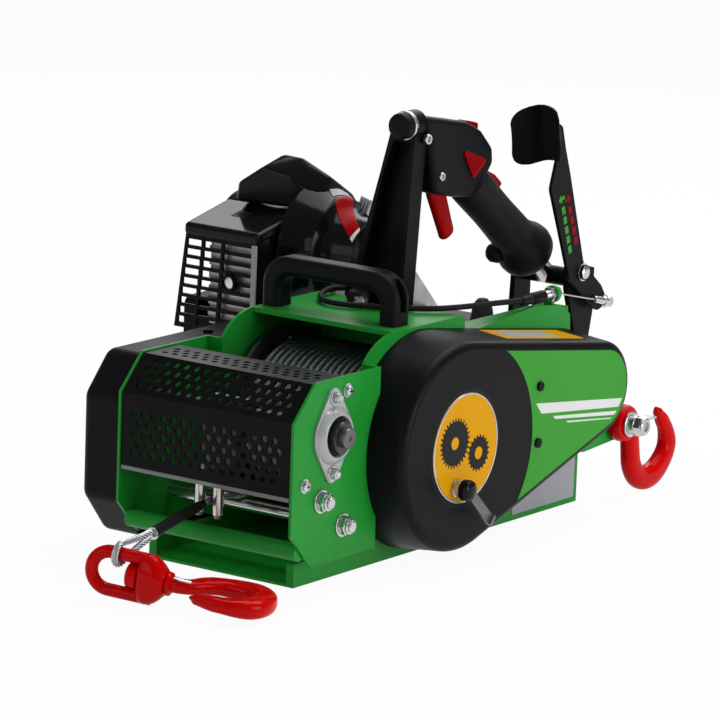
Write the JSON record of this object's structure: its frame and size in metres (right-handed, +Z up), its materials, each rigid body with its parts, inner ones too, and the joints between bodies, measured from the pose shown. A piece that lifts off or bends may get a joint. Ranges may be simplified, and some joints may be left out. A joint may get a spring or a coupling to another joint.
{
  "type": "portable petrol drum winch",
  "caption": "Portable engine-driven drum winch: folded steel frame, wire rope drum with level wind, chain covers, small petrol engine overhung at the left rear, throttle handle and hooks.",
  "frame": {"origin": "on the underside of the base, directly below the drum axis, midway between the side plates", "axes": "+X along the drum axis to the right, +Y to the rear, +Z up"},
  "size_m": [0.45, 0.8271, 0.4354],
  "materials": {
    "green_paint": "semi-gloss green powder coat",
    "black_paint": "satin black powder coat",
    "black_plastic": "fine-grained moulded black plastic",
    "gloss_black": "gloss black moulded shroud",
    "black_rubber": "matt black rubber",
    "yellow_disc": "amber yellow label plastic",
    "red_enamel": "gloss red enamel",
    "red_plastic": "moulded red plastic",
    "bright_zinc": "bright zinc plate",
    "dark_steel": "oiled dark steel",
    "black_screws": "black oxide",
    "galvanised_rope": "galvanised steel wire rope",
    "cast_aluminium": "bare die-cast aluminium"
  },
  "bodies": {
    "frame": {"base_pan": "green_paint", "right_side_plate": "green_paint", "left_side_plate": "green_paint", "top_deck": "green_paint", "front_tie_bar": "green_paint", "rope_guard": "black_paint", "handle_bracket": "black_paint", "rear_handle_bracket": "black_paint", "right_chain_cover": "black_plastic", "left_chain_cover": "black_plastic", "carry_handle": "black_plastic", "throttle_housing": "black_plastic", "fuel_tank": "black_plastic", "air_filter": "black_plastic", "recoil_starter": "black_plastic", "engine_shroud": "gloss_black", "top_cover": "gloss_black", "fan_housing": "gloss_black", "handle_grip": "black_rubber", "control_cable": "black_rubber", "cover_disc": "yellow_disc", "frame_fasteners": "bright_zinc", "flange_bearings": "bright_zinc", "guide_rods": "bright_zinc", "anchor_bolt": "bright_zinc", "cable_adjuster": "bright_zinc", "handle_tube": "bright_zinc", "cable_wire": "bright_zinc", "drive_chain": "dark_steel", "level_wind_chain": "dark_steel", "primary_chain": "dark_steel", "cover_screws": "black_screws", "muffler_guard": "black_screws", "gear_case": "cast_aluminium", "engine_block": "cast_aluminium", "muffler": "cast_aluminium"},
    "drum": {"drum": "dark_steel", "drum_sprockets": "dark_steel", "rope_winding": "galvanised_rope"},
    "jackshaft": {"jackshaft": "dark_steel"},
    "clutch_drum": {"clutch_drum": "dark_steel"},
    "crankshaft": {"crankshaft": "dark_steel"},
    "level_wind_screw": {"level_wind_screw": "dark_steel"},
    "carriage": {"carriage": "dark_steel", "rope_lead": "galvanised_rope", "rope_eye": "galvanised_rope"},
    "left_roller": {"left_roller": "bright_zinc"},
    "right_roller": {"right_roller": "bright_zinc"},
    "swivel_bow": {"swivel_bow": "red_enamel"},
    "rope_hook": {"rope_hook": "red_enamel"},
    "rear_hook": {"rear_hook": "red_enamel"},
    "rear_latch": {"rear_latch": "bright_zinc"},
    "free_spool_lever": {"free_spool_lever": "dark_steel"},
    "throttle_trigger": {"throttle_trigger": "red_plastic"},
    "throttle_lock": {"throttle_lock": "red_plastic"},
    "stop_switch": {"stop_switch": "red_plastic"},
    "hold_button": {"hold_button": "red_plastic"},
    "start_lever": {"start_lever": "black_paint"},
    "starter_grip": {"starter_grip": "black_plastic"},
    "fuel_cap": {"fuel_cap": "black_plastic"}
  },
  "joints": [
    {"name": "drum_turn", "type": "hinge", "parent": "frame", "child": "drum", "pos_m": [0, 0, 0.118], "axis": [1, 0, 0], "continuous": true},
    {"name": "jackshaft_turn", "type": "hinge", "parent": "frame", "child": "jackshaft", "pos_m": [0, 0.255, 0.138], "axis": [1, 0, 0], "continuous": true},
    {"name": "clutch_drum_turn", "type": "hinge", "parent": "frame", "child": "clutch_drum", "pos_m": [0, 0.168, 0.256], "axis": [1, 0, 0], "continuous": true},
    {"name": "crank_turn", "type": "hinge", "parent": "frame", "child": "crankshaft", "pos_m": [0, 0.168, 0.256], "axis": [1, 0, 0], "continuous": true},
    {"name": "screw_turn", "type": "hinge", "parent": "frame", "child": "level_wind_screw", "pos_m": [0, -0.17, 0.152], "axis": [1, 0, 0], "continuous": true},
    {"name": "carriage_slide", "type": "slide", "parent": "frame", "child": "carriage", "axis": [1, 0, 0], "range_m": [-0.056, 0.086]},
    {"name": "left_roller_spin", "type": "hinge", "parent": "carriage", "child": "left_roller", "pos_m": [-0.02645, -0.202, 0.075], "axis": [0, 0, 1], "continuous": true},
    {"name": "right_roller_spin", "type": "hinge", "parent": "carriage", "child": "right_roller", "pos_m": [-0.00355, -0.202, 0.075], "axis": [0, 0, 1], "continuous": true},
    {"name": "bow_swing", "type": "hinge", "parent": "carriage", "child": "swivel_bow", "pos_m": [-0.00286, -0.35624, 0.04784], "axis": [0.9485, 0.2991, -0.1045], "range_deg": [-60, 40]},
    {"name": "hook_swivel", "type": "hinge", "parent": "swivel_bow", "child": "rope_hook", "pos_m": [0.04267, -0.34188, 0.02372], "axis": [0.9485, 0.2991, -0.1045], "continuous": true},
    {"name": "rear_hook_swing", "type": "hinge", "parent": "frame", "child": "rear_hook", "pos_m": [0.11, 0.357, 0.079], "axis": [1, 0, 0], "range_deg": [0, 120]},
    {"name": "rear_latch_swing", "type": "hinge", "parent": "rear_hook", "child": "rear_latch", "pos_m": [0.11, 0.382, 0.077], "axis": [1, 0, 0], "range_deg": [-40, 0], "stiffness_Nm_per_rad": 0.02, "springref_deg": 8.59},
    {"name": "free_spool_turn", "type": "hinge", "parent": "frame", "child": "free_spool_lever", "pos_m": [0.15, -0.014, 0.079], "axis": [1, 0, 0], "range_deg": [0, 70]},
    {"name": "trigger_squeeze", "type": "hinge", "parent": "frame", "child": "throttle_trigger", "pos_m": [0.02, 0.118, 0.356], "axis": [1, 0, 0], "range_deg": [0, 15], "stiffness_Nm_per_rad": 0.4, "springref_deg": -5.73},
    {"name": "lock_press", "type": "hinge", "parent": "frame", "child": "throttle_lock", "pos_m": [0.02, 0.196, 0.368], "axis": [1, 0, 0], "range_deg": [-6, 0], "stiffness_Nm_per_rad": 0.4, "springref_deg": 5.73},
    {"name": "stop_press", "type": "slide", "parent": "frame", "child": "stop_switch", "axis": [1, 0, 0], "range_m": [-0.0025, 0], "stiffness_N_per_m": 300, "springref_m": 0.001},
    {"name": "hold_press", "type": "slide", "parent": "frame", "child": "hold_button", "axis": [0, 0, 1], "range_m": [-0.003, 0], "stiffness_N_per_m": 300, "springref_m": 0.001},
    {"name": "start_lever_swing", "type": "hinge", "parent": "frame", "child": "start_lever", "pos_m": [0.08, 0.308, 0.245], "axis": [1, 0, 0], "range_deg": [-25, 4], "deforming": ["cable_wire"]},
    {"name": "starter_pull", "type": "slide", "parent": "frame", "child": "starter_grip", "axis": [0, 1, 0], "range_m": [0, 0.5], "stiffness_N_per_m": 20, "springref_m": -0.05},
    {"name": "fuel_cap_turn", "type": "hinge", "parent": "frame", "child": "fuel_cap", "pos_m": [-0.222, 0.25, 0.16], "axis": [0, 1, 0], "continuous": true}
  ],
  "couplings": [
    {"joint": "jackshaft_turn", "follows": "drum_turn", "ratio": 2.4706},
    {"joint": "clutch_drum_turn", "follows": "drum_turn", "ratio": 4.7353},
    {"joint": "screw_turn", "follows": "drum_turn", "ratio": 1}
  ]
}
